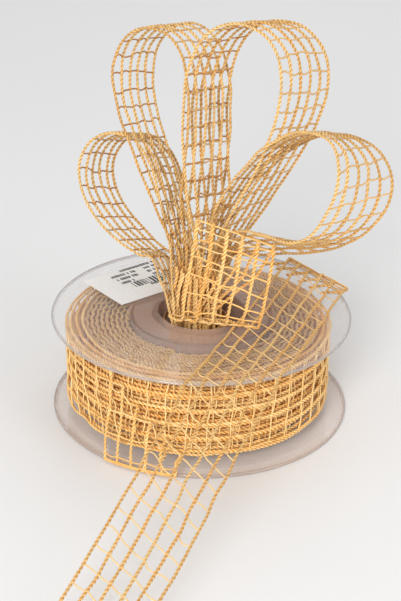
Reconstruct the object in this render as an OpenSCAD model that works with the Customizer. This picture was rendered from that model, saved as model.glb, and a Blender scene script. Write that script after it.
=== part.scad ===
// Ribbon spool: a two-part clear spool wound with open net ribbon, a draped
// length of the same ribbon and a looped bow that stands in the spool's hole.
// Millimetres, +Z up. The origin is the centre of the spool's underside, and
// z = 0 is the surface that it stands on.

/* [Spool] */
// Diameter of the two flanges
flange_d = 100; // [98:1:102]
// Height over both flanges
spool_h = 34.4; // [34.4:0.1:35]
// Thickness of each flange, which has a fully rounded rim
flange_t = 1.2; // [1:0.1:1.4]
// Outer diameter of the barrel that the ribbon is wound on
barrel_d = 47.8; // [46:0.2:48]
// Diameter of the hole through the spool
bore_d = 29; // [28.6:0.1:29.4]
// Outer diameter of the sleeve around the hole
sleeve_d = 33.2; // [32.6:0.2:34]
// Wall thickness of the barrel
barrel_wall = 1.2; // [1:0.1:1.4]

/* [Ribbon] */
// Width of the net ribbon over its outer cords
ribbon_w = 26; // [24:0.5:26]
// Thickness that a single layer of net takes up
ribbon_t = 0.8; // [0.7:0.1:0.9]
// Outer diameter of the wound ribbon
pack_d = 88.8; // [80:0.4:89.2]

/* [Label] */
// Length of the paper label on the upper flange
label_l = 35.2; // [30:0.2:36]
// Width of the label
label_w = 22.6; // [18:0.2:23]

/* [Bow] */
// Diameter of the gathered ribbon that stands in the hole
stem_d = 20; // [18:0.2:20]
// Depth that the gathered ribbon reaches into the hole
stem_depth = 10; // [8:0.5:14]

/* [Hidden] */

$fn = 128;
flange_r = flange_d / 2;
barrel_r = barrel_d / 2;
bore_r = bore_d / 2;
sleeve_r = sleeve_d / 2;
pack_r = pack_d / 2;
mid_z = spool_h / 2;

// The spool's smaller features
bead_r = 46.4;          // circle of the half-round bead inside each flange
bead_size = 0.6;
sleeve_gap = 0.6;       // the two sleeves stop short of each other
spigot_h = 3;           // the lower barrel's spigot enters the upper barrel
spigot_wall = 1.1;
spigot_play = 0.05;
label_t = 0.15;
label_turn = 39;        // the label's long side from the X axis
label_center = [-20.2, 22];
tape_t = 0.1;
tape_l = 14;            // length of the tape round the barrel
layer_gap = 0.05;
pack_z = (spool_h - ribbon_w) / 2 + 0.9; // the wound ribbon sits a little high
pack_inner_r = barrel_r + tape_t + 2 * layer_gap;

// The ribbon's loose outer end, folded at 45 degrees and hanging over the rim
end_turn = 248;         // direction of its middle from the axis
end_tilt = 10.5;        // it leans out from the pack to the rim
end_r = 51.2;           // distance of its lower edge from the axis
end_low = 0.2;
end_fold_low = 4.5;

// The draped ribbon runs in one upright plane beside the hole
drape_turn = 22;        // its run from the -Y axis
drape_offset = 27.6;    // its middle from the spool's axis
drape_z = spool_h + ribbon_t / 2 + 0.4;
fold_h = 3;             // the back end is folded under, in a low roll
fold_l = 2.6;
fold_left = 42.4;       // the roll lies askew, from this far behind the axis
fold_right = 33;        // to this far behind it
tail_start = 48;        // distance in front of the axis where it leaves the flange
tail_touch = 172;       // distance where it comes to rest on the table
tail_end = 180;
tail_sag = 1.27;        // 1 is a straight fall; more lets it level out towards the table
tail_z = ribbon_t / 2 + 0.1;
tail_steps = 20;

// The bow's loops. Each one is a teardrop in a plane that leans back and is
// turned to the right. x runs along the plane, y up the lean, from the base.
back_base = [0, 7, 32];
side_right_base = [6.5, 9, 28];
stem_xy = [-1.8, 2.6];
stem_top = spool_h + 1.6;
gather_l = 46;          // distance over which a loop spreads to full width
gather_w = 12;
side_right_gather = [80, 6]; // this loop spreads later, to pass between its neighbours
loop_foot_w = 2.6;      // the two limbs of a loop are this far apart at its foot
loop_steps = 48;
// [foot, heading from the plane's y axis, bend along its length, length,
// width, and the share of the length where it is widest]
LOOP_BACK_LEFT = [[-3.6, 6], -9.5, -1, 87, 25.5, 0.79];
LOOP_BACK_RIGHT = [[3.2, 6], 15, -8, 89, 33, 0.77];
LOOP_SIDE_LEFT = [[-9.5, 10], -38, 12, 51, 22, 0.72];
LOOP_SIDE_RIGHT = [[10, 10], 46, 62, 72, 32, 0.78];
center_loop_w = 7.8;    // depth of the centre loop, seen from the side
center_loop_h = 26.6;
center_loop_at = [-10.1, 50.7];
center_loop_x = 5.4;    // middle of the centre loop's width
center_loop_lean = 6;   // it leans to the right

// Half the width of a teardrop at a share u of its length: it grows from the
// foot, is widest at the share fullest and closes in a round end
function drop_half(width, fullest, u) =
  let (growth = fullest / (1 - fullest) / 2)
  width / 2 * pow(u / fullest, growth) * sqrt((1 - u) / (1 - fullest))
  + loop_foot_w / 2 * sqrt(1 - u);

// A teardrop whose middle line is an arc: up one limb and down the other
function teardrop(loop) =
  let (
    foot = loop[0], heading = loop[1], bend = loop[2], length = loop[3],
    arc_r = length / (bend * PI / 180)
  )
  [for (i = [0:loop_steps])
    let (
      turn = 360 * i / loop_steps,
      u = (1 - cos(turn)) / 2,
      h = heading + bend * u,
      side = turn <= 180 ? -1 : 1,
      half = side * drop_half(loop[4], loop[5], u)
    )
    foot + arc_r * [cos(heading) - cos(h), sin(h) - sin(heading)]
    + half * [cos(h), -sin(h)]
  ];

// The draped ribbon from the side: flat on the flange, then down to the table
function drape_line() = concat(
  [[0, drape_z], [tail_start / 2, drape_z]],
  [for (i = [0:tail_steps])
    let (left = 1 - i / tail_steps)
    [
      tail_touch - left * (tail_touch - tail_start),
      tail_z + (drape_z - tail_z) * pow(left, tail_sag)
    ]],
  [[tail_end, tail_z]]
);

function unit(v) = v / norm(v);

// The direction across an open curve at point i
function across(p, i) =
  let (d = unit(p[min(i + 1, len(p) - 1)] - p[max(i - 1, 0)])) [-d[1], d[0]];

// The outline of one layer of ribbon seen on its edge
module ribbon_edge(curve) {
  last = len(curve) - 1;
  polygon(concat(
    [for (i = [0:last]) curve[i] + ribbon_t / 2 * across(curve, i)],
    [for (i = [last:-1:0]) curve[i] - ribbon_t / 2 * across(curve, i)]
  ));
}

// An upright oval
module oval(w, h) {
  polygon([for (a = [0:7.5:352.5]) [w / 2 * cos(a), h / 2 * sin(a)]]);
}

// One flange with its rounded rim and inner bead, standing on z = 0
module flange_profile() {
  translate([bore_r, 0])
    square([flange_r - flange_t / 2 - bore_r, flange_t]);
  translate([flange_r - flange_t / 2, flange_t / 2])
    circle(d = flange_t, $fn = 32);
  translate([bead_r, flange_t])
    intersection() {
      circle(d = 2 * bead_size, $fn = 32);
      translate([-bead_size, -flange_t / 2])
        square([2 * bead_size, flange_t + bead_size]);
    }
}

// Half of the spool: flange, half of the sleeve and half of the barrel
module half_profile() {
  flange_profile();
  translate([bore_r, 0])
    square([sleeve_r - bore_r, mid_z - sleeve_gap / 2]);
  translate([barrel_r - barrel_wall, 0])
    square([barrel_wall, mid_z]);
}

module spool_lower_half() {
  color([0.72, 0.68, 0.68, 0.5])
    rotate_extrude() {
      half_profile();
      translate([barrel_r - barrel_wall - spigot_wall, mid_z - spigot_h])
        square([spigot_wall - spigot_play, 2 * spigot_h]);
      translate([barrel_r - barrel_wall - spigot_wall, mid_z - spigot_h])
        square([spigot_wall + barrel_wall / 2, spigot_h - spigot_play]);
    }
}

module spool_upper_half() {
  color([0.84, 0.87, 0.89, 0.5])
    translate([0, 0, spool_h])
      mirror([0, 0, 1])
        rotate_extrude()
          half_profile();
}

module label() {
  color([0.95, 0.95, 0.94])
    translate([label_center[0], label_center[1], spool_h])
      rotate([0, 0, label_turn])
        translate([-label_l / 2, -label_w / 2, 0])
          cube([label_l, label_w, label_t]);
}

// Clear tape that holds the ribbon's inner end on the barrel
module start_tape() {
  tape_angle = tape_l / barrel_r * 180 / PI;
  color([0.93, 0.93, 0.9, 0.6])
    translate([0, 0, pack_z + 2])
      rotate_extrude(angle = tape_angle)
        translate([barrel_r + layer_gap, 0])
          square([tape_t, ribbon_w - 4]);
}

module ribbon_pack() {
  color([0.88, 0.65, 0.31])
    translate([0, 0, pack_z])
      rotate_extrude()
        translate([pack_inner_r, 0])
          square([pack_r - pack_inner_r, ribbon_w]);
}

module ribbon_end() {
  half_w = ribbon_w / 2;
  color([0.91, 0.69, 0.36])
    rotate([0, 0, end_turn])
      translate([end_r, 0, end_low])
        rotate([0, -end_tilt, 0])
          rotate([90, 0, 90])
            translate([0, 0, -ribbon_t / 2])
              linear_extrude(ribbon_t)
                polygon([
                  [-half_w, 0], [half_w, 0],
                  [half_w, end_fold_low], [-half_w, end_fold_low + ribbon_w]
                ]);
}

// The draped ribbon in its own plane: x across it, y against its run
module draped_ribbon() {
  half_w = ribbon_w / 2;
  color([0.91, 0.69, 0.36])
    rotate([0, 0, -drape_turn])
      translate([drape_offset, 0, 0]) {
        rotate([90, 0, -90])
          linear_extrude(ribbon_w, center = true)
            ribbon_edge(drape_line());
        translate([0, 0, drape_z - ribbon_t / 2])
          linear_extrude(ribbon_t)
            polygon([[-half_w, fold_left], [-half_w, -5], [half_w, -5], [half_w, fold_right]]);
        translate([0, 0, drape_z - ribbon_t / 2])
          linear_extrude(fold_h)
            polygon([
              [-half_w, fold_left], [-half_w, fold_left - fold_l],
              [half_w, fold_right - fold_l], [half_w, fold_right]
            ]);
      }
}

// Narrows a loop towards the gather at point root of its plane, which lies
// forward of the plane by root[2], along the direction turn
module gather_wedge(root, turn, spread_l, root_w) {
  full = ribbon_w / 2;
  far = 130;
  translate([root[0], root[1], 0])
    rotate([0, 0, -turn])
      rotate([0, 90, 0])
        linear_extrude(2 * far, center = true)
          polygon([
            [root_w / 2 - root[2], 0], [full, spread_l], [full, far],
            [-full, far], [-full, spread_l], [-root_w / 2 - root[2], 0]
          ]);
}

// A loop of ribbon in a plane that leans back by lean and turns by yaw
module bow_loop(loop, base, lean, yaw, root, turn, spread_l = gather_l, root_w = gather_w) {
  color([0.92, 0.68, 0.34])
    translate(base)
      rotate([90 - lean, 0, 0])
        rotate([0, -yaw, 0])
          intersection() {
            linear_extrude(ribbon_w, center = true)
              ribbon_edge(teardrop(loop));
            gather_wedge(root, turn, spread_l, root_w);
          }
}

module bow_loop_back_left() {
  bow_loop(LOOP_BACK_LEFT, back_base, 17, 32, [-3, 2, 1], -11);
}

module bow_loop_back_right() {
  bow_loop(LOOP_BACK_RIGHT, back_base, 17, 32, [1, 2, 1], 11);
}

module bow_loop_side_left() {
  bow_loop(LOOP_SIDE_LEFT, back_base, 25, 25, [-7, 3, 1], -35);
}

module bow_loop_side_right() {
  bow_loop(
    LOOP_SIDE_RIGHT, side_right_base, 32, 51, [9, 0, 0], 55,
    side_right_gather[0], side_right_gather[1]
  );
}

// The small loop in front, with its width along X
module bow_center_loop() {
  color([0.95, 0.74, 0.4])
    translate([center_loop_x, 0, 0])
      translate([0, 0, spool_h])
        rotate([0, center_loop_lean, 0])
          translate([0, 0, -spool_h])
            rotate([90, 0, 90])
              linear_extrude(ribbon_w - 2, center = true)
                translate(center_loop_at)
                  difference() {
                    oval(center_loop_w + ribbon_t, center_loop_h + ribbon_t);
                    oval(center_loop_w - ribbon_t, center_loop_h - ribbon_t);
                  }
}

// The gathered ends of all the loops
module bow_stem() {
  color([0.8, 0.52, 0.22])
    translate([stem_xy[0], stem_xy[1], spool_h - stem_depth])
      cylinder(d = stem_d, h = stem_top - spool_h + stem_depth, $fn = 48);
}

// Thread bound round the gathered ends
module bow_tie() {
  tie_t = 1.2;
  color([0.75, 0.5, 0.22])
    translate([stem_xy[0], stem_xy[1], spool_h - stem_depth / 2])
      rotate_extrude($fn = 48)
        translate([stem_d / 2 + layer_gap, -1.2])
          square([tie_t, 2.4]);
}

spool_upper_half();
spool_lower_half();
label();
start_tape();
ribbon_pack();
ribbon_end();
draped_ribbon();
bow_stem();
bow_tie();
bow_loop_back_left();
bow_loop_back_right();
bow_loop_side_left();
bow_loop_side_right();
bow_center_loop();
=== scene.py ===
"""Looks for the ribbon spool: clear plastic spool halves, a printed label, and net ribbon of twisted cords.

Lengths are in millimetres until a mesh is made, when they become metres."""

import math

import bpy
import numpy as np
from mathutils import Matrix, Vector


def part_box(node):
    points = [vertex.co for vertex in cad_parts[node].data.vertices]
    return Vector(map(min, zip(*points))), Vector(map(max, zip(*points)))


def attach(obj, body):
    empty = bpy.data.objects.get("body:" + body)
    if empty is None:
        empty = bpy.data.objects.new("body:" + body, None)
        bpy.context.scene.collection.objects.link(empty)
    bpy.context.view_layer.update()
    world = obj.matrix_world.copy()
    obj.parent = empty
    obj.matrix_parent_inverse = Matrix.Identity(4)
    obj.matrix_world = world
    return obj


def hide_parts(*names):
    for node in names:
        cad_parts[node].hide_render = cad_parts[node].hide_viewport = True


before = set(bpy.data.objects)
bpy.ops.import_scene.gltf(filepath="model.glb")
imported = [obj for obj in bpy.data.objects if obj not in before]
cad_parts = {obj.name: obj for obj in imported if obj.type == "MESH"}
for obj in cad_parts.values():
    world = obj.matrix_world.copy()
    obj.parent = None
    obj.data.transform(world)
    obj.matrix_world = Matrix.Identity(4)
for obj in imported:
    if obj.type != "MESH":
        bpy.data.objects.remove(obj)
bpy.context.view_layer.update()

MM = 0.001
FLOOR_Z = -0.0001          # in metres, just under the spool so that the two faces do not meet


def box_mm(node):
    """A CAD node's lowest and highest corners, in millimetres."""
    low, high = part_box(node)
    return np.array(low) / MM, np.array(high) / MM


# ---------------------------------------------------------------- sizes from the frame
spool_low, spool_high = box_mm("spool_lower_half")
pack_low, pack_high = box_mm("ribbon_pack")
label_low, label_high = box_mm("label")
stem_low, stem_high = box_mm("bow_stem")
tie_low, tie_high = box_mm("bow_tie")
FLANGE_R = spool_high[0]
TOP_Z = box_mm("spool_upper_half")[1][2]
PACK_R = pack_high[0]
BARREL_R = 24.2          # the plastic looks like the hub up to here, just outside the barrel's wall
STEM = (stem_low + stem_high) / 2
STEM_R = (stem_high[0] - stem_low[0]) / 2

# ---------------------------------------------------------------- the ribbon
CORDS = 6                # cords across the ribbon
CORD_GAP = 5.04          # between the middles of neighbouring cords
STRAND_R = 0.36          # each cord is two strands, twisted
PLY_R = 0.2              # a strand's middle from the cord's middle
TWIST = 3.1              # length of one turn of the twist
WEFT_R = 0.24
WEFT_PITCH = 6.9
LOOP_WEFT_R = 0.3        # the wefts bunch up where the ribbon is bent
LOOP_WEFT_PITCH = 5.9
STEP = 0.48              # between the rings of a strand
OFFSETS = (np.arange(CORDS) - (CORDS - 1) / 2) * CORD_GAP
RIBBON_W = (CORDS - 1) * CORD_GAP
WEFT_MARGIN = 2          # the wefts are placed no nearer than this to the ribbon's ends
HEM_R = 0.3              # of the wefts pressed together along a fold or an end


# ---------------------------------------------------------------- curves
def spline(points, per_span=12):
    """Many points on a smooth curve through the given ones."""
    p = np.asarray(points, float)
    p = np.vstack([2 * p[0] - p[1], p, 2 * p[-1] - p[-2]])
    t = np.linspace(0, 1, per_span, endpoint=False)[:, None]
    out = []
    for a, b, c, d in zip(p, p[1:], p[2:], p[3:]):
        out.append(0.5 * (2 * b + (c - a) * t + (2 * a - 5 * b + 4 * c - d) * t**2
                          + (3 * b - a - 3 * c + d) * t**3))
    return np.vstack(out + [p[-2][None]])


def lengths(points):
    """The distance along a polyline at each of its points."""
    steps = np.linalg.norm(np.diff(points, axis=0), axis=1)
    return np.concatenate([[0], np.cumsum(steps)])


def resample(points, count):
    """count points evenly spaced along a polyline."""
    s = lengths(points)
    at = np.linspace(0, s[-1], count)
    return np.stack([np.interp(at, s, points[:, i]) for i in range(points.shape[1])], 1)


def smoothstep(x):
    x = np.clip(x, 0, 1)
    return x * x * (3 - 2 * x)


def wander(rng, count, step, wavelength, size):
    """Smooth random sideways movement along a cord."""
    knots = max(4, int(count * step / wavelength) + 3)
    values = rng.normal(0, size, knots)
    at = np.linspace(0, knots - 1, count)
    i = np.minimum(at.astype(int), knots - 2)
    f = smoothstep(at - i)
    return values[i] * (1 - f) + values[i + 1] * f


# ---------------------------------------------------------------- mesh building
def place_mesh(name, mesh):
    obj = bpy.data.objects.new(name, mesh)
    bpy.context.scene.collection.objects.link(obj)
    return obj


def mesh_object(name, points, faces):
    """An object made of points, in metres, and faces."""
    mesh = bpy.data.meshes.new(name)
    mesh.from_pydata(points, [], faces)
    mesh.update()
    return place_mesh(name, mesh)


class Threads:
    """Collects closed tubes into one mesh, each point with a place on its thread."""

    def __init__(self):
        self.points, self.places, self.tones = [], [], []
        self.quads, self.caps, self.count = [], [], 0

    def tube(self, path, across, out, radius, sides, tone=0.5):
        """A closed tube along path. across and out span its cross-section."""
        n = len(path)
        angle = np.arange(sides) * 2 * math.pi / sides
        ring = np.cos(angle)[None, :, None] * across[:, None] + np.sin(angle)[None, :, None] * out[:, None]
        radius = np.broadcast_to(np.asarray(radius, float), (n,))
        points = path[:, None] + radius[:, None, None] * ring
        along = lengths(path)
        place = np.zeros((n, sides, 3))
        place[..., 0] = np.cos(angle)
        place[..., 1] = np.sin(angle)
        place[..., 2] = along[:, None]
        self.points.append(points.reshape(-1, 3))
        self.places.append(place.reshape(-1, 3))
        self.tones.append(np.full(n * sides, tone))
        i = np.arange(n - 1)[:, None] * sides + self.count
        j = np.arange(sides)[None]
        k = (j + 1) % sides
        self.quads.append(np.stack([i + j, i + k, i + sides + k, i + sides + j], -1).reshape(-1, 4))
        first = np.arange(sides) + self.count
        self.caps.append(first[::-1])
        self.caps.append(first + (n - 1) * sides)
        self.count += n * sides

    def build(self, name):
        """All the tubes so far as one object."""
        quads = np.vstack(self.quads)
        caps = np.concatenate(self.caps)
        totals = np.concatenate([np.full(len(quads), 4), [len(c) for c in self.caps]])
        corners = np.concatenate([quads.ravel(), caps]).astype(np.int32)
        starts = np.concatenate([[0], np.cumsum(totals)[:-1]])
        mesh = bpy.data.meshes.new(name)
        mesh.vertices.add(self.count)
        mesh.vertices.foreach_set("co", (np.vstack(self.points) * MM).astype(np.float32).ravel())
        mesh.loops.add(len(corners))
        mesh.loops.foreach_set("vertex_index", corners)
        mesh.polygons.add(len(totals))
        mesh.polygons.foreach_set("loop_start", starts.astype(np.int32))
        mesh.polygons.foreach_set("loop_total", totals.astype(np.int32))
        place = mesh.attributes.new("thread", "FLOAT_VECTOR", "POINT")
        place.data.foreach_set("vector", np.vstack(self.places).astype(np.float32).ravel())
        tone = mesh.attributes.new("tone", "FLOAT", "POINT")
        tone.data.foreach_set("value", np.concatenate(self.tones).astype(np.float32))
        mesh.update(calc_edges=True)
        mesh.validate()
        mesh.shade_smooth()
        return place_mesh(name, mesh)


def frames(path, side):
    """Unit vectors across a path: one near side, and one square to it."""
    t = np.gradient(path, axis=0)
    t /= np.linalg.norm(t, axis=1, keepdims=True) + 1e-9
    side = side - t * (side * t).sum(1, keepdims=True)
    side /= np.linalg.norm(side, axis=1, keepdims=True) + 1e-9
    return side, np.cross(t, side)


def add_cord(threads, path, side, rng, step=STEP, sides=5, thick=1.0):
    """One two-strand cord along path."""
    across, out = frames(path, side)
    s = lengths(path)
    start = rng.uniform(0, 2 * math.pi)
    pitch = TWIST * rng.uniform(0.95, 1.05)
    tone = rng.uniform(0.3, 0.7)
    swell = 1 + 0.07 * wander(rng, len(path), step, 2.2, 1.0)
    for ply in (0, math.pi):
        a = (start + ply + 2 * math.pi * s / pitch)[:, None]
        turn_across = np.cos(a) * across + np.sin(a) * out
        turn_out = -np.sin(a) * across + np.cos(a) * out
        centre = path + thick * PLY_R * turn_across
        threads.tube(centre, turn_across, turn_out, thick * STRAND_R * swell, sides, tone)


def at_index(path, index):
    """The point of a path at a fractional index."""
    index = min(max(index, 0), len(path) - 1.001)
    i = int(index)
    return path[i] + (path[i + 1] - path[i]) * (index - i)


def add_weft(threads, cords, outs, index, lean, rng, sag, size, tones):
    """One thin cross thread from the first cord to the last, through them all."""
    last = len(cords) - 1
    places = [index + lean * (k / last - 0.5) + rng.normal(0, 0.55) for k in range(last + 1)]
    points = []
    for k in range(last + 1):
        here = at_index(cords[k], places[k])
        out = at_index(outs[k], places[k])
        weave = 0.16 if k % 2 else -0.16
        points.append(here + out * weave)
        if k < last:
            there = at_index(cords[k + 1], places[k + 1])
            span = np.linalg.norm(there - here)
            along = at_index(cords[k], places[k] + 1) - at_index(cords[k], places[k] - 1)
            along /= np.linalg.norm(along) + 1e-9
            slack = max(0.0, 1 - span / CORD_GAP)
            drop = sag * rng.normal(0.25, 0.45) + slack * rng.choice([-1, 1]) * 1.6
            rise = out * (slack * rng.uniform(-1.2, 1.2))
            points.append(here + (there - here) * 0.36 + along * drop + rise)
            points.append(here + (there - here) * 0.7 + along * drop * 0.7 + rise)
    path = spline(points, 3)
    side = np.tile(at_index(outs[0], places[0]), (len(path), 1)) + 1e-4
    across, out = frames(path, side)
    threads.tube(path, across, out, size, 4, tone=rng.uniform(*tones))


def net(threads, grid, seed, pitch=WEFT_PITCH, lean=0.0, wobble=0.22, sides=5, sag=0.7,
        weft_r=WEFT_R, weft_tones=(0.7, 1.0), thick=1.0):
    """Net ribbon over a grid of points, cords by stations.

    lean is how far the wefts run ahead at one edge. Returns the ribbon's length.
    """
    rng = np.random.default_rng(seed)
    count = grid.shape[1]
    middle = grid[len(grid) // 2]
    step = lengths(middle)[-1] / (count - 1)
    width = np.gradient(grid, axis=0)
    cords, outs = [], []
    for k, path in enumerate(grid):
        across, out = frames(path, width[k])
        spread = np.linalg.norm(width[k], axis=1, keepdims=True) / CORD_GAP
        moved = path + across * wander(rng, count, step, 9, wobble)[:, None] * np.minimum(spread, 1)
        moved = moved + out * wander(rng, count, step, 7, wobble * 0.7)[:, None]
        add_cord(threads, moved, width[k], rng, step, sides, thick=thick)
        cords.append(moved)
        outs.append(out)
    total = (count - 1) * step
    s = rng.uniform(0.3, 0.9) * pitch + WEFT_MARGIN
    while s < total - WEFT_MARGIN:
        add_weft(threads, cords, outs, s / step, lean / step, rng, sag, weft_r, weft_tones)
        s += pitch * rng.uniform(0.93, 1.07)
    return total


def add_hem(threads, points, rng, spread, rows=3):
    """Wefts pressed together along a fold or a cut end."""
    path = resample(spline(points, 8), max(8, int(lengths(np.asarray(points, float))[-1] / 0.8)))
    side = np.tile([0.0, 0.0, 1.0], (len(path), 1))
    across, out = frames(path, side)
    for i in range(rows):
        angle = 2 * math.pi * i / rows
        moved = path + spread * (math.cos(angle) * across + math.sin(angle) * out)
        moved = moved + across * wander(rng, len(path), 0.8, 4, 0.08)[:, None]
        threads.tube(moved, across, out, HEM_R, 5, tone=rng.uniform(0.3, 0.6))


def stands_for(obj, body, node):
    """Says which body a piece rides on and which CAD node it replaces."""
    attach(obj, body)
    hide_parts(node)


def declare(obj, body, node):
    """Says what a net piece is: its body and the CAD node it stands for."""
    stands_for(obj, body, node)


# ---------------------------------------------------------------- materials
def new_material(name):
    material = bpy.data.materials.new(name)
    material.use_nodes = True
    tree = material.node_tree
    return material, tree, tree.nodes["Principled BSDF"]


def add(tree, kind, **inputs):
    """A new node with its inputs set by name."""
    node = tree.nodes.new(kind)
    for key, value in inputs.items():
        node.inputs[key.replace("_", " ")].default_value = value
    return node


def ramp(tree, factor, stops):
    """A colour ramp over a socket, from (place, colour) stops."""
    node = tree.nodes.new("ShaderNodeValToRGB")
    tree.links.new(factor, node.inputs["Fac"])
    elements = node.color_ramp.elements
    while len(elements) < len(stops):
        elements.new(0.5)
    for element, (place, colour) in zip(elements, stops):
        element.position = place
        element.color = (*colour, 1)
    return node.outputs["Color"]


def scaled(tree, vector, factors):
    """A vector socket times three factors."""
    node = tree.nodes.new("ShaderNodeVectorMath")
    node.operation = "MULTIPLY"
    node.inputs[1].default_value = factors
    tree.links.new(vector, node.inputs[0])
    return node.outputs["Vector"]


def plus_share(tree, value, share, base=None):
    """A socket times share, plus another socket."""
    node = tree.nodes.new("ShaderNodeMath")
    node.operation = "MULTIPLY_ADD" if base else "MULTIPLY"
    node.inputs[1].default_value = share
    tree.links.new(value, node.inputs[0])
    if base:
        tree.links.new(base, node.inputs[2])
    return node.outputs["Value"]


def attribute(tree, name):
    node = tree.nodes.new("ShaderNodeAttribute")
    node.attribute_name = name
    return node


def add_bump(tree, shader, height, strength, distance):
    bump = add(tree, "ShaderNodeBump", Strength=strength, Distance=distance)
    tree.links.new(height, bump.inputs["Height"])
    tree.links.new(bump.outputs["Normal"], shader.inputs["Normal"])


def grain_material(name, scale, detail, stops, roughness, bump=None, grain_roughness=0.5):
    """A fine noise between a few colours, which may also raise the surface."""
    material, tree, shader = new_material(name)
    coords = tree.nodes.new("ShaderNodeTexCoord")
    grain = add(tree, "ShaderNodeTexNoise", Scale=scale, Detail=detail, Roughness=grain_roughness)
    tree.links.new(coords.outputs["Object"], grain.inputs["Vector"])
    tree.links.new(ramp(tree, grain.outputs["Fac"], stops), shader.inputs["Base Color"])
    if bump:
        add_bump(tree, shader, grain.outputs["Fac"], *bump)
    shader.inputs["Roughness"].default_value = roughness
    return material, shader


def thread_material(name, dark, middle, light):
    """Spun yarn: streaks of fibre along each strand, tones that change from cord to cord, and a painted
    highlight on each strand's outer crest with painted shade in the groove between the two strands.
    """
    material, tree, shader = new_material(name)
    place = attribute(tree, "thread").outputs["Vector"]
    fibres = add(tree, "ShaderNodeTexNoise", Scale=2.2, Detail=4.0, Roughness=0.6)
    tree.links.new(scaled(tree, place, (1.6, 1.6, 0.9)), fibres.inputs["Vector"])
    coords = tree.nodes.new("ShaderNodeTexCoord")
    patches = add(tree, "ShaderNodeTexNoise", Scale=160.0, Detail=2.0)
    tree.links.new(coords.outputs["Object"], patches.inputs["Vector"])
    painted_crest_light = tree.nodes.new("ShaderNodeSeparateXYZ")
    tree.links.new(place, painted_crest_light.inputs["Vector"])
    shade = plus_share(tree, patches.outputs["Fac"], 0.22)
    shade = plus_share(tree, fibres.outputs["Fac"], 0.45, shade)
    shade = plus_share(tree, attribute(tree, "tone").outputs["Fac"], 0.45, shade)
    # painted light: each strand lighter on its outer side (painted highlight), darker on its inner side in
    # the groove (painted shade)
    shade = plus_share(tree, painted_crest_light.outputs["X"], 0.24, shade)
    colour = ramp(tree, shade, [(0.22, dark), (0.52, middle), (0.85, light)])
    tree.links.new(colour, shader.inputs["Base Color"])
    add_bump(tree, shader, fibres.outputs["Fac"], 0.35, 0.00012)
    shader.inputs["Roughness"].default_value = 0.5
    shader.inputs["Sheen Weight"].default_value = 0.125
    shader.inputs["Sheen Roughness"].default_value = 0.4
    shader.inputs["Specular IOR Level"].default_value = 0.5
    return material


HUB_PAINTED_GLOW = (1.05, 0.8, 0.66)             # painted glow: the ribbon's colour, seen through and reflected in the hub's walls, painted into the plastic's colour
HUB_ALPHA, WEB_ALPHA, RIM_ALPHA = 0.4, 0.16, 0.72   # cover at the hub, over the flange and at its rim
RIM_PAINTED_SHADE = 0.62                         # painted shade: the rim's colour as a share of the flange's, for the dark edge of the clear rim
RIM_W = 1.1


def clear_plastic(name, tint, roughness):
    """Clear moulded plastic with faint flow marks and fine scratches, denser at the thick rounded rim, where
    its colour is darkened as painted shade, and warmed at the hub as a painted glow of the ribbon's colour.
    """
    material, tree, shader = new_material(name)
    coords = tree.nodes.new("ShaderNodeTexCoord")
    flow = add(tree, "ShaderNodeTexNoise", Scale=35.0, Detail=3.0)
    tree.links.new(coords.outputs["Object"], flow.inputs["Vector"])
    stretch = tree.nodes.new("ShaderNodeMapping")
    stretch.inputs["Scale"].default_value = (60, 900, 60)
    stretch.inputs["Rotation"].default_value = (0, 0, 0.6)
    tree.links.new(coords.outputs["Object"], stretch.inputs["Vector"])
    scratches = add(tree, "ShaderNodeTexNoise", Scale=1.0, Detail=2.0)
    tree.links.new(stretch.outputs["Vector"], scratches.inputs["Vector"])
    marks = plus_share(tree, scratches.outputs["Fac"], 0.12, flow.outputs["Fac"])
    add_bump(tree, shader, marks, 0.12, 0.0006)
    rough = tree.nodes.new("ShaderNodeMapRange")
    rough.inputs["To Min"].default_value = roughness
    rough.inputs["To Max"].default_value = roughness + 0.06
    tree.links.new(scratches.outputs["Fac"], rough.inputs["Value"])
    tree.links.new(rough.outputs["Result"], shader.inputs["Roughness"])
    radius = tree.nodes.new("ShaderNodeVectorMath")
    radius.operation = "LENGTH"
    tree.links.new(scaled(tree, coords.outputs["Object"], (1, 1, 0)), radius.inputs[0])
    zone = tree.nodes.new("ShaderNodeMapRange")
    zone.inputs["From Max"].default_value = FLANGE_R * MM
    tree.links.new(radius.outputs["Value"], zone.inputs["Value"])
    hub, rim = BARREL_R / FLANGE_R, (FLANGE_R - RIM_W) / FLANGE_R
    places = (0.0, hub, hub + 0.01, rim, 0.995)
    covers = (HUB_ALPHA, HUB_ALPHA, WEB_ALPHA, WEB_ALPHA, RIM_ALPHA)
    alpha = ramp(tree, zone.outputs["Result"], [(at, (cover,) * 3) for at, cover in zip(places, covers)])
    tree.links.new(alpha, shader.inputs["Alpha"])
    # painted shade darkens the rim; a painted glow of the ribbon's colour warms the hub
    dark = tuple(RIM_PAINTED_SHADE * c for c in tint)
    hub_painted_glow = tuple(c * k for c, k in zip(tint, HUB_PAINTED_GLOW))
    colour = ramp(tree, zone.outputs["Result"], list(zip(places, (hub_painted_glow, hub_painted_glow, tint, tint, dark))))
    tree.links.new(colour, shader.inputs["Base Color"])
    shader.inputs["Transmission Weight"].default_value = 0.35
    shader.inputs["IOR"].default_value = 1.45
    return material


def paper_material():
    """White label paper with a fine fibre grain."""
    stops = [(0.3, (0.78, 0.78, 0.77)), (0.7, (0.88, 0.88, 0.87))]
    return grain_material("label_paper", 900.0, 5.0, stops, 0.55, (0.2, 0.00003), 0.7)[0]


def ink_material():
    """Grey-black print, a little uneven."""
    stops = [(0.3, (0.02, 0.02, 0.025)), (0.75, (0.07, 0.07, 0.075))]
    return grain_material("label_ink", 1500.0, 3.0, stops, 0.6)[0]


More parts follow.
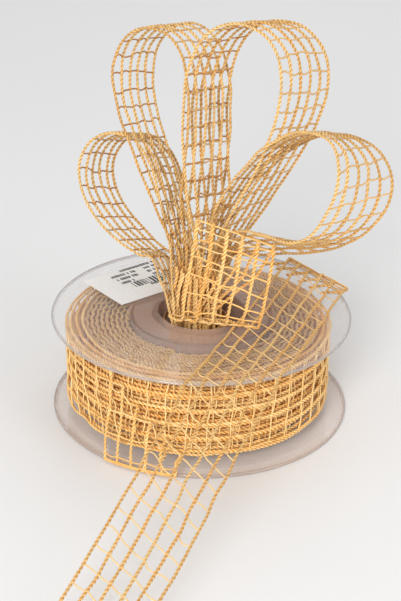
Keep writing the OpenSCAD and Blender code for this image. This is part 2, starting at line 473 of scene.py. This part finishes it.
def core_material():
    """The deep layers of wound ribbon, in shade between the outer cords: their darker orange is painted
    shade.
    """
    # painted shade: a darker, deeper orange than the wound cords
    stops = [(0.3, (0.42, 0.125, 0.012)), (0.7, (0.68, 0.25, 0.03))]
    return grain_material("wound_core_painted_shade", 700.0, 4.0, stops, 0.8, (0.5, 0.0004))[0]


def tape_material():
    """Clear adhesive tape, slightly yellowed."""
    stops = [(0.3, (0.85, 0.82, 0.7)), (0.7, (0.92, 0.9, 0.8))]
    material, shader = grain_material("clear_tape", 300.0, 2.0, stops, 0.2)
    shader.inputs["Transmission Weight"].default_value = 0.8
    return material


def floor_material():
    """Matt near-white floor."""
    stops = [(0.0, (0.8, 0.8, 0.8)), (1.0, (0.84, 0.84, 0.84))]
    return grain_material("studio_floor", 3.0, 2.0, stops, 0.7)[0]


# One golden cord in two copies: a darker one as painted shade for the loops, draped ribbon and inner turns,
# and a brighter one as painted light for the front loop, gathered ends, outer turns and loose end
CORD_PAINTED_SHADE = thread_material("gold_cord_painted_shade", (0.44, 0.15, 0.016), (0.64, 0.325, 0.072), (0.86, 0.6, 0.26))
CORD_PAINTED_LIGHT = thread_material("gold_cord_painted_light", (0.58, 0.19, 0.016), (0.88, 0.44, 0.085), (1.0, 0.74, 0.34))
TIE_THREAD = thread_material("tie_thread", (0.35, 0.16, 0.04), (0.5, 0.25, 0.07), (0.62, 0.35, 0.12))


def paint(obj, material):
    obj.data.materials.clear()
    obj.data.materials.append(material)


# ---------------------------------------------------------------- the bow's loops
class LoopPlane:
    """A plane that leans back by lean and is turned to the right by yaw."""

    def __init__(self, base, lean, yaw):
        lean, yaw = math.radians(lean), math.radians(yaw)
        self.base = np.array(base, float)
        self.along = np.array(
            [math.cos(yaw), -math.sin(yaw) * math.cos(lean), math.sin(yaw) * math.sin(lean)])
        self.up = np.array([0, math.sin(lean), math.cos(lean)])
        self.out = np.array([math.sin(yaw), math.cos(yaw) * math.cos(lean), -math.cos(yaw) * math.sin(lean)])

    def edge(self, points, side):
        """An edge of the ribbon, half its width in front of the plane (-1) or behind it (1)."""
        half = RIBBON_W / 2 * gather(np.hypot(*points.T))[:, None]
        return self.base + points[:, :1] * self.along + points[:, 1:] * self.up + side * half * self.out


GATHER_L = 34            # the ribbon spreads from the gather to its full width over this length
GATHER_W = 0.38          # share of the full width inside the gather


def gather(distance):
    """Share of the full width at a distance from the gather."""
    return GATHER_W + (1 - GATHER_W) * smoothstep((distance - 6) / GATHER_L)


FOOT_W = 2.6             # the two limbs of a loop are this far apart at its foot
DROP_FROM = 0.6          # the teardrop starts and ends this far round from its foot, in radians


def teardrop(foot, heading, bend, length, width, fullest):
    """A teardrop on a middle line that is an arc: up one limb and down the other.

    The CAD's loops are curves of the same kind, with dimensions of their own. heading is measured
    from the plane's y axis, in degrees, and bend is how much it turns over the length. fullest is
    the share of the length where the drop is widest.
    """
    turn = np.linspace(DROP_FROM, 2 * math.pi - DROP_FROM, 21)
    u = (1 - np.cos(turn)) / 2
    left = np.clip(1 - u, 0, None)
    growth = fullest / (1 - fullest) / 2
    half = width / 2 * (u / fullest) ** growth * np.sqrt(left / (1 - fullest)) + FOOT_W / 2 * np.sqrt(left)
    half *= np.where(turn <= math.pi, -1, 1)
    heading, bend = math.radians(heading), math.radians(bend)
    at = heading + bend * u
    arc = np.stack([math.cos(heading) - np.cos(at), np.sin(at) - math.sin(heading)], 1)
    return np.array(foot) + length / bend * arc + half[:, None] * np.stack([np.cos(at), -np.sin(at)], 1)


BACK = LoopPlane((0, 7, 32), 17, 32)
SIDE_LEFT = LoopPlane((0, 7, 32), 25, 25)
SIDE_RIGHT = LoopPlane((0, 9, 30.8), 32, 51)   # the CAD loop stands further right, clear of its neighbours
# Each loop: its plane, where its limbs stand in the gather, and the teardrops of its near and far edge
LOOPS = {
    "bow_loop_back_left": dict(
        plane=BACK, foot=(-3, 0.5), seed=11,
        near=teardrop((-2, 10), -9, -4, 84, 28, 0.79), far=teardrop((-3, 10), -9, -2, 86, 30, 0.76)),
    "bow_loop_back_right": dict(
        plane=BACK, foot=(1.5, 2), seed=12,
        near=teardrop((3, 10), 16, -8, 86, 34, 0.75), far=teardrop((3, 10), 15, -1, 88, 36, 0.78)),
    "bow_loop_side_left": dict(
        plane=SIDE_LEFT, foot=(-6, -5), seed=13,
        near=teardrop((-9, 13), -34, 8, 51, 26, 0.68), far=teardrop((-9.5, 14), -34, 8, 52, 24, 0.7)),
    "bow_loop_side_right": dict(
        plane=SIDE_RIGHT, foot=(3.5, -1), seed=14,
        near=teardrop((9, 14), 42, 74, 74, 33, 0.78), far=teardrop((-2, 18), 51, 60, 82, 36, 0.64)),
}


def loop_grid(plane, near, far, foot):
    """The cords of a loop between its two edges, whose ends run down into the gather."""
    low = np.array([STEM[0] + foot[0], STEM[1] + foot[1], stem_low[2] + 1])
    high = low + [0, 0, stem_high[2] - stem_low[2] - 2]
    paths = []
    for side, outline in ((-1, near), (1, far)):
        shift = side * RIBBON_W / 2 * GATHER_W * plane.out * [1, 1, 0]
        body = plane.edge(outline, side)
        beside = shift + [0.8, 0.8, 0]
        paths.append(spline(np.vstack([low + shift, high + shift, body, high + beside, low + beside])))
    count = int(sum(lengths(p)[-1] for p in paths) / 2 / STEP)
    near, far = (resample(p, count) for p in paths)
    width = far - near
    size = np.linalg.norm(width, axis=1, keepdims=True)
    width *= np.minimum(1, RIBBON_W * 1.05 / size)
    return (near + far) / 2 + width * (OFFSETS / RIBBON_W)[:, None, None]


def make_loops():
    """The four large loops."""
    for name, loop in LOOPS.items():
        grid = loop_grid(loop["plane"], loop["near"], loop["far"], loop["foot"])
        threads = Threads()
        length = net(threads, grid, loop["seed"], pitch=LOOP_WEFT_PITCH, sag=0.9, weft_r=LOOP_WEFT_R,
                     weft_tones=(0.2, 0.5))
        piece = threads.build(name + "_net")
        paint(piece, CORD_PAINTED_SHADE)
        declare(piece, "bow", name)


# ---------------------------------------------------------------- the small loop in front
CENTER_OVAL = (-10.4, 50), (5.8, 17)     # middle and half sizes of its oval, seen from the side
CENTER_X, CENTER_LEAN = 5.5, 0.16        # it stands right of the axis and leans to the right
CENTER_START = [(-2, -1, 26), (-1, -4, 32), (1.5, -8.6, 35.2)]
CENTER_END = [(1.5, -2.5, 38), (-1, -0.5, 32), (-1, -0.5, 26)]


def center_path():
    """Out of the gather, forwards over the flange, up the front, over the top and down behind."""
    (mid_y, mid_z), (half_y, half_z) = CENTER_OVAL
    turn = np.radians(np.linspace(235, 0, 12))
    y, z = mid_y + half_y * np.cos(turn), mid_z + half_z * np.sin(turn)
    oval = np.stack([CENTER_X + CENTER_LEAN * (z - z.min()), y, z], 1)
    return spline(np.vstack([CENTER_START, oval, CENTER_END]))


def make_center_loop():
    path = center_path()
    count = int(lengths(path)[-1] / STEP)
    path = resample(path, count)
    s = np.arange(count) * STEP
    share = np.minimum(0.3 + 0.7 * smoothstep((s - 5) / 10), 0.3 + 0.7 * smoothstep((s[-1] - s - 8) / 34))
    tilt = 0.1 * smoothstep((s - 50) / 12) - 0.28 * smoothstep((s - 20) / 12)
    side = np.stack([0.95 + 0 * s, -0.15 + 0 * s, tilt], 1)
    side /= np.linalg.norm(side, axis=1, keepdims=True)
    grid = path[None] + OFFSETS[:, None, None] * share[None, :, None] * side
    threads = Threads()
    length = net(threads, grid, 21, pitch=6.2, lean=0.6, weft_r=0.3, thick=1.1)
    piece = threads.build("bow_center_loop_net")
    paint(piece, CORD_PAINTED_LIGHT)
    declare(piece, "bow", "bow_center_loop")


# ---------------------------------------------------------------- the gathered ends and their tie
STEM_CORDS = 40
GOLDEN_ANGLE = 2.39996   # between one cord and the next, which spreads them evenly
STEM_RISE = 12           # the cords run on this far above the hole


def make_stem():
    """The cords of the gathered ends, bunched in the hole and spreading a little above it."""
    rng = np.random.default_rng(41)
    threads = Threads()
    bottom, top = stem_low[2] + 0.3, stem_high[2] + STEM_RISE
    count = int((top - bottom) / STEP)
    z = np.linspace(bottom, top, count)
    tie_z = (tie_low[2] + tie_high[2]) / 2
    spread = 1 - 0.1 * np.exp(-((z - tie_z) / 3) ** 2) - 0.2 * smoothstep((z - stem_high[2]) / STEM_RISE)
    for i in range(STEM_CORDS):
        r = (STEM_R - 1.4) * math.sqrt((i + 0.5) / STEM_CORDS)
        turn = i * GOLDEN_ANGLE
        lean = wander(rng, count, STEP, 9, 0.45)
        path = np.stack([STEM[0] + (r * spread + lean) * math.cos(turn),
                         STEM[1] + (r * spread + lean) * math.sin(turn), z], 1)
        side = np.tile([math.sin(turn), -math.cos(turn), 0.0], (count, 1))
        add_cord(threads, path, side, rng)
    piece = threads.build("bow_stem_gathered_net")
    paint(piece, CORD_PAINTED_LIGHT)
    declare(piece, "bow", "bow_stem")


def make_tie():
    """Thread wound round the gathered ends."""
    turns, thread_r = 4, 0.28
    radius = (tie_high[0] - tie_low[0]) / 2 - 0.55
    t = np.linspace(0, turns, turns * 72)
    a = 2 * math.pi * t
    rise = (t / turns - 0.5) * (tie_high[2] - tie_low[2] - 2 * thread_r)
    centre = (tie_low + tie_high) / 2
    path = np.stack([centre[0] + radius * np.cos(a), centre[1] + radius * np.sin(a), centre[2] + rise], 1)
    out = np.stack([np.cos(a), np.sin(a), 0 * a], 1)
    across, square = frames(path, out)
    threads = Threads()
    threads.tube(path, across, square, thread_r, 8)
    piece = threads.build("bow_tie_thread")
    paint(piece, TIE_THREAD)
    stands_for(piece, "bow", "bow_tie")


# ---------------------------------------------------------------- the draped ribbon
DRAPE_TURN = math.radians(22)            # its run, from the -Y axis
DRAPE_OFFSET = 27.6      # its middle, from the spool's axis
DRAPE_RUN = np.array([-math.sin(DRAPE_TURN), -math.cos(DRAPE_TURN), 0])
DRAPE_SIDE = np.array([math.cos(DRAPE_TURN), -math.sin(DRAPE_TURN), 0])
ON_FLANGE = TOP_Z + 0.55
FOLD_LEFT, FOLD_RIGHT = 46.5, 32.5       # the fold, behind the axis, at the ribbon's two edges
FOLD_TOP_LEFT, FOLD_TOP_RIGHT = 37.4, 37.0
FLAP_L = 9               # length that is folded under
TAIL_START, TAIL_TOUCH, TAIL_END = 48, 172, 179.5   # where the tail leaves the flange, lands and ends
TAIL_SAG = 1.27          # 1 is a straight fall; more lets it level out towards the table
TAIL_LOW = 0.6           # height of its cords' middle on the table
TAIL_BEND = 0.026        # the tail turns this much to the left as it comes down
TAIL_NARROW = 0.07       # the edges draw in by this share where the ribbon drops off the flange
TAIL_AHEAD = 13          # the right edge leaves the flange this much sooner


def tail_height(s):
    """Height of the draped ribbon at a distance s in front of the axis."""
    left = np.clip((TAIL_TOUCH - s) / (TAIL_TOUCH - TAIL_START), 0, 1)
    return TAIL_LOW + (ON_FLANGE - TAIL_LOW) * left ** TAIL_SAG


def drape_grid():
    """The cords of the draped ribbon, from the flap under its fold to its end on the table."""
    fold = DRAPE_SIDE * RIBBON_W + DRAPE_RUN * (FOLD_LEFT - FOLD_RIGHT)
    fold /= np.linalg.norm(fold)
    back = -DRAPE_RUN
    flap_dir = 2 * (back @ fold) * fold - back
    paths = []
    for offset in OFFSETS:
        f = offset / RIBBON_W + 0.5
        behind = FOLD_LEFT + (FOLD_RIGHT - FOLD_LEFT) * f
        top = FOLD_TOP_LEFT + (FOLD_TOP_RIGHT - FOLD_TOP_LEFT) * f
        line = DRAPE_SIDE * (DRAPE_OFFSET + offset)

        def at(s, z, line=line, offset=offset):
            narrow = TAIL_NARROW * smoothstep((s - 45) / 20) * (1 - smoothstep((s - 110) / 50))
            aside = offset * narrow + TAIL_BEND * max(0, s - 40)
            return line + DRAPE_RUN * s - DRAPE_SIDE * aside + [0, 0, z]

        corner = at(-behind, 0)
        low = TOP_Z + 0.5
        points = [
            corner + flap_dir * FLAP_L + [0, 0, low],
            corner + flap_dir * FLAP_L * 0.5 + [0, 0, low + 0.1],
            corner + flap_dir * 1.6 + [0, 0, low + 0.15],
            corner + [0, 0, (low + top) / 2],
            at(-behind + 1.6, top - 0.1),
            at(-behind + 8, (top + ON_FLANGE + 1.2) / 2),
            at(-behind + 17, ON_FLANGE + 0.9),
            at(-8, ON_FLANGE + 0.1),
        ]
        points += [at(s, ON_FLANGE) for s in (4, 16, 26)]
        s = np.arange(30, TAIL_END, 1.5)
        ahead = TAIL_AHEAD * f * (1 - smoothstep((s - 105) / 60))
        z = tail_height(s + ahead)
        head = spline(np.array(points), 10)
        rest = np.array([at(a, b) for a, b in zip(s, z)])
        paths.append(np.vstack([head, rest]))
    count = int(lengths(paths[2])[-1] / STEP)
    return np.array([resample(p, count) for p in paths])


def make_draped_ribbon():
    threads = Threads()
    grid = drape_grid()
    length = net(threads, grid, 31, lean=6.5, wobble=0.25, sag=1.0)
    fold = np.argmin(grid @ DRAPE_RUN, axis=1)
    add_hem(threads, grid[np.arange(CORDS), fold], np.random.default_rng(32), 0.7)
    piece = threads.build("draped_ribbon_net")
    paint(piece, CORD_PAINTED_SHADE)
    declare(piece, "spool", "draped_ribbon")


# ---------------------------------------------------------------- the wound ribbon
TURN_GAP = 1.65          # between neighbouring inner turns
OUTER_SHIFTS = [0.2, -1.3, 0.5, -1.2, 0.6]   # how far each outer turn is wound off its row, upwards
OUTER_TURNS = len(OUTER_SHIFTS)
OUTER_INSET = 0.7        # from the outside of the wound ribbon to its first turn
WIND_START = math.radians(120)           # the turns start here, and so does the loose end
OUTER_GAP = 1.0          # the outer turns are pressed into each other
ROW_LOW = pack_low[2] + 0.5
ROWS = ROW_LOW + np.arange(CORDS) * CORD_GAP


def spiral(radius, turns, gap=TURN_GAP):
    """Points of a spiral that winds inwards from radius."""
    count = int(2 * math.pi * radius * turns / STEP)
    t = np.linspace(0, turns, count)
    a = WIND_START + 2 * math.pi * t
    r = radius - gap * t
    return a, r, t


def make_outer_turns():
    """The outermost turns, each with all its cords and wefts."""
    total = 0.0
    threads = Threads()
    for i, shift in enumerate(OUTER_SHIFTS):
        a, r, t = spiral(PACK_R - OUTER_INSET - OUTER_GAP * i, 1, OUTER_GAP)
        following = OUTER_SHIFTS[(i + 1) % OUTER_TURNS]
        drift = shift + (following - shift) * smoothstep((t - 0.82) / 0.18)
        drift = np.clip(drift, -1.2, None)
        grid = np.stack([np.stack([r * np.cos(a), r * np.sin(a), z + drift + 0 * a], 1) for z in ROWS])
        total += net(threads, grid, 51 + i, wobble=0.16, sag=0.4, sides=4, lean=1.5, weft_r=0.25,
                     weft_tones=(0.45, 0.85), thick=1.12)
    piece = threads.build("wound_ribbon_outer_turns")
    paint(piece, CORD_PAINTED_LIGHT)
    declare(piece, "spool", "ribbon_pack")


def make_inner_turns():
    """The edges of the inner turns, which show through the flanges."""
    rng = np.random.default_rng(59)
    threads = Threads()
    outer = PACK_R - OUTER_INSET - OUTER_GAP * OUTER_TURNS - 0.3
    turns = (outer - pack_low_inner() - 0.5) / TURN_GAP
    a, r, _ = spiral(outer, turns)
    s = np.arange(len(a)) * STEP
    for z in (ROWS[0], ROWS[-1]):
        wave = 0.3 * np.sin(2 * math.pi * s / (WEFT_PITCH * 0.83) + wander(rng, len(a), STEP, 40, 1.2))
        lift = wander(rng, len(a), STEP, 12, 0.18)
        radius = r + wave
        path = np.stack([radius * np.cos(a), radius * np.sin(a), z + lift], 1)
        side = np.stack([np.cos(a), np.sin(a), 0 * a], 1)
        add_cord(threads, path, side, rng, STEP, 4, thick=1.1)
    piece = threads.build("wound_ribbon_inner_turns")
    paint(piece, CORD_PAINTED_SHADE)
    stands_for(piece, "spool", "ribbon_pack")


def pack_low_inner():
    """Inner radius of the wound ribbon, from its CAD solid."""
    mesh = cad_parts["ribbon_pack"].data
    points = np.array([v.co for v in mesh.vertices]) / MM
    return float(np.hypot(points[:, 0], points[:, 1]).min())


CORE_SINK = 1.1          # its faces lie this far inside the outermost cords
CORE_ROWS = 20           # rows of its ribbed outer wall
CORE_COUNT = 240         # profiles round the axis


def ridged(start, end, ridges, z, groove):
    """Part of the core's profile from one radius to another, with a groove in every ridge."""
    steps = ridges * 4
    return [(start + (end - start) * i / steps, z + groove * (i % 4 == 2)) for i in range(steps + 1)]


def make_core():
    """The layers inside the outer turns, as one ridged ring."""
    outer = PACK_R - OUTER_INSET - OUTER_GAP * OUTER_TURNS
    inner = pack_low_inner() + 0.1
    ridges = int((outer - inner) / TURN_GAP)
    low, high = ROWS[0] + CORE_SINK, ROWS[-1] - CORE_SINK
    wall = [(outer - 0.35 * (i % 2), high + (low - high) * i / CORE_ROWS) for i in range(1, CORE_ROWS)]
    profile = ridged(inner, outer, ridges, high, -0.6) + wall + ridged(outer, inner, ridges, low, 0.45)
    points, faces = [], []
    n = len(profile)
    for j in range(CORE_COUNT):
        a = 2 * math.pi * j / CORE_COUNT
        points += [(r * math.cos(a) * MM, r * math.sin(a) * MM, z * MM) for r, z in profile]
        b, c = j * n, ((j + 1) % CORE_COUNT) * n
        faces += [(b + i, b + (i + 1) % n, c + (i + 1) % n, c + i) for i in range(n)]
    piece = mesh_object("wound_ribbon_core", points, faces)
    paint(piece, core_material())
    stands_for(piece, "spool", "ribbon_pack")


# ---------------------------------------------------------------- the loose outer end
END_TURN = math.radians(248)             # where it folds
END_R = PACK_R + 0.55
END_RISE = 0.7           # it starts this far inside END_R
END_FOOT_R = FLANGE_R + 1.0
END_FLOOR = 0.9          # height of its lower end


def make_ribbon_end():
    """The outer turn comes round from the left, folds at 45 degrees and hangs over the lower rim."""
    paths = []
    for k, z in enumerate(ROWS):
        across = RIBBON_W / 2 - k * CORD_GAP
        fold_a = END_TURN + across / END_R
        a = np.linspace(WIND_START, fold_a, 160)
        r = END_R - END_RISE * (1 - smoothstep((a - WIND_START) / 0.5))
        turn = np.stack([r * np.cos(a), r * np.sin(a), z + 0 * a], 1)
        h = np.linspace(z, END_FLOOR, 60)[1:]
        out = END_R + (END_FOOT_R - END_R) * smoothstep((ROWS[-1] - h) / (ROWS[-1] - 1.2))
        angle = END_TURN + across / END_R * (END_R / out)
        hang = np.stack([out * np.cos(angle), out * np.sin(angle), h], 1)
        paths.append(np.vstack([turn, hang]))
    count = int(lengths(paths[2])[-1] / STEP)
    grid = np.array([resample(p, count) for p in paths])
    soft = np.ones(5) / 5
    inner = np.apply_along_axis(lambda v: np.convolve(v, soft, "valid"), 1, grid)
    grid[:, 2:-2] = inner
    threads = Threads()
    length = net(threads, grid, 61, wobble=0.25)
    add_hem(threads, grid[:, -2], np.random.default_rng(62), 0.3, rows=2)
    piece = threads.build("ribbon_end_net")
    paint(piece, CORD_PAINTED_LIGHT)
    declare(piece, "spool", "ribbon_end")


# ---------------------------------------------------------------- the label's print
LABEL_TURN = math.radians(39)
LABEL_CENTER = (label_low + label_high) / 2
INK_T = 0.03
INK_LIFT = 0.08          # from the label's middle to the print's underside
PRINT_ROWS = [(-3, 12, 10.2), (-8.4, 1.6, 7.5), (5.3, 11, 7.5), (-8, 0.8, 4.7), (5, 10, 4.7),
              (-8, -2.8, 1.8), (5.3, 8, 1.8), (0, 6, -4.2)]   # each: from x, to x, middle y
PRINT_H = 1.7
BARS_FROM, BARS_TO = -5.5, 12.5
BAR_LOW, BAR_HIGH = -3.4, 0.6


def make_print():
    """Rows of generic blocks and a bar pattern: no letters."""
    rng = np.random.default_rng(71)
    u = np.array([math.cos(LABEL_TURN), math.sin(LABEL_TURN)])
    v = np.array([-math.sin(LABEL_TURN), math.cos(LABEL_TURN)])
    points, faces = [], []

    def block(x0, x1, y0, y1):
        start = len(points)
        for z in (LABEL_CENTER[2] + INK_LIFT, LABEL_CENTER[2] + INK_LIFT + INK_T):
            for x, y in ((x0, y0), (x1, y0), (x1, y1), (x0, y1)):
                p = LABEL_CENTER[:2] + x * u + y * v
                points.append((p[0] * MM, p[1] * MM, z * MM))
        quads = [(3, 2, 1, 0), (4, 5, 6, 7), (0, 1, 5, 4), (1, 2, 6, 5), (2, 3, 7, 6), (3, 0, 4, 7)]
        faces.extend(tuple(start + i for i in q) for q in quads)

    def row(x0, x1, y):
        x = x0
        while x < x1:
            wide = rng.uniform(0.45, 0.95)
            low = y - PRINT_H / 2 * rng.uniform(0.75, 1.0)
            high = y + PRINT_H / 2 * rng.uniform(0.75, 1.0)
            block(x, min(x + wide, x1), low, high)
            x += wide + rng.choice([0.25, 0.3, 1.0], p=[0.45, 0.4, 0.15])

    for x0, x1, y in PRINT_ROWS:
        row(x0, x1, y)
    x = BARS_FROM
    while x < BARS_TO:
        wide = rng.choice([0.3, 0.55, 0.9])
        block(x, x + wide, BAR_LOW, BAR_HIGH)
        x += wide + rng.choice([0.35, 0.5, 0.8])
    piece = mesh_object("label_print", points, faces)
    paint(piece, ink_material())
    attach(piece, "spool")


# ---------------------------------------------------------------- CAD pieces that stay
def finish_cad_pieces():
    """Materials for the pieces whose CAD shape is kept."""
    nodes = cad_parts
    paint(nodes["spool_upper_half"], clear_plastic("clear_upper", (0.74, 0.71, 0.71), 0.04))
    # the lower half's warm tint is partly its own mauve and partly a painted reflection of the orange ribbon
    paint(nodes["spool_lower_half"], clear_plastic("clear_lower", (0.85, 0.7, 0.62), 0.05))
    paint(nodes["label"], paper_material())
    paint(nodes["start_tape"], tape_material())


# ---------------------------------------------------------------- studio
FLOOR_HALF = 6.0         # half the floor's side, in metres
CAMERA_POS = (0, -434.1, 253.8)
CAMERA_AIM = (-0.37, 0, 37.76)
CAMERA_ROLL = math.radians(1.168)
CAMERA_LENS = 87.13


def make_camera():
    """The camera that took the photo, rolled about its own axis."""
    position, aim = Vector(CAMERA_POS) * MM, Vector(CAMERA_AIM) * MM
    back = (position - aim).normalized()
    right = Vector((0, 0, 1)).cross(back).normalized()
    up = back.cross(right)
    right_r = right * math.cos(CAMERA_ROLL) + up * math.sin(CAMERA_ROLL)
    up_r = up * math.cos(CAMERA_ROLL) - right * math.sin(CAMERA_ROLL)
    data = bpy.data.cameras.new("camera")
    data.lens = CAMERA_LENS
    data.sensor_width = 36
    data.sensor_fit = "AUTO"
    data.clip_start = 0.01
    camera = bpy.data.objects.new("camera", data)
    matrix = Matrix((right_r, up_r, back)).transposed().to_4x4()
    matrix.translation = position
    camera.matrix_world = matrix
    bpy.context.scene.collection.objects.link(camera)
    bpy.context.scene.camera = camera


def make_light(name, position, aim, size, power):
    data = bpy.data.lights.new(name, "AREA")
    data.shape = "RECTANGLE"
    data.size, data.size_y = size
    data.energy = power
    light = bpy.data.objects.new(name, data)
    light.location = position
    light.rotation_euler = (Vector(aim) - Vector(position)).to_track_quat("-Z", "Y").to_euler()
    bpy.context.scene.collection.objects.link(light)


def make_studio():
    """Floor, white surroundings and three lights, in metres."""
    corners = [(x * FLOOR_HALF, y * FLOOR_HALF, FLOOR_Z) for x, y in ((-1, -1), (1, -1), (1, 1), (-1, 1))]
    floor = mesh_object("studio_floor", corners, [(0, 1, 2, 3)])
    paint(floor, floor_material())
    world = bpy.data.worlds.new("studio")
    world.use_nodes = True
    world.node_tree.nodes["Background"].inputs["Color"].default_value = (1, 1, 1, 1)
    world.node_tree.nodes["Background"].inputs["Strength"].default_value = 0.55
    bpy.context.scene.world = world
    make_light("key", (-0.35, -1.15, 0.62), (0, 0, 0.04), (0.5, 0.5), 13.5)
    make_light("fill", (0.9, -0.7, 0.5), (0, 0, 0.05), (0.5, 0.8), 3.5)
    make_light("rim", (0.2, 0.8, 0.8), (0, 0, 0.06), (0.9, 0.5), 2)
    bpy.context.scene.view_settings.view_transform = "Standard"


make_camera()
make_studio()
make_loops()
make_center_loop()
make_stem()
make_tie()
make_draped_ribbon()
make_outer_turns()
make_inner_turns()
make_core()
make_ribbon_end()
make_print()
finish_cad_pieces()
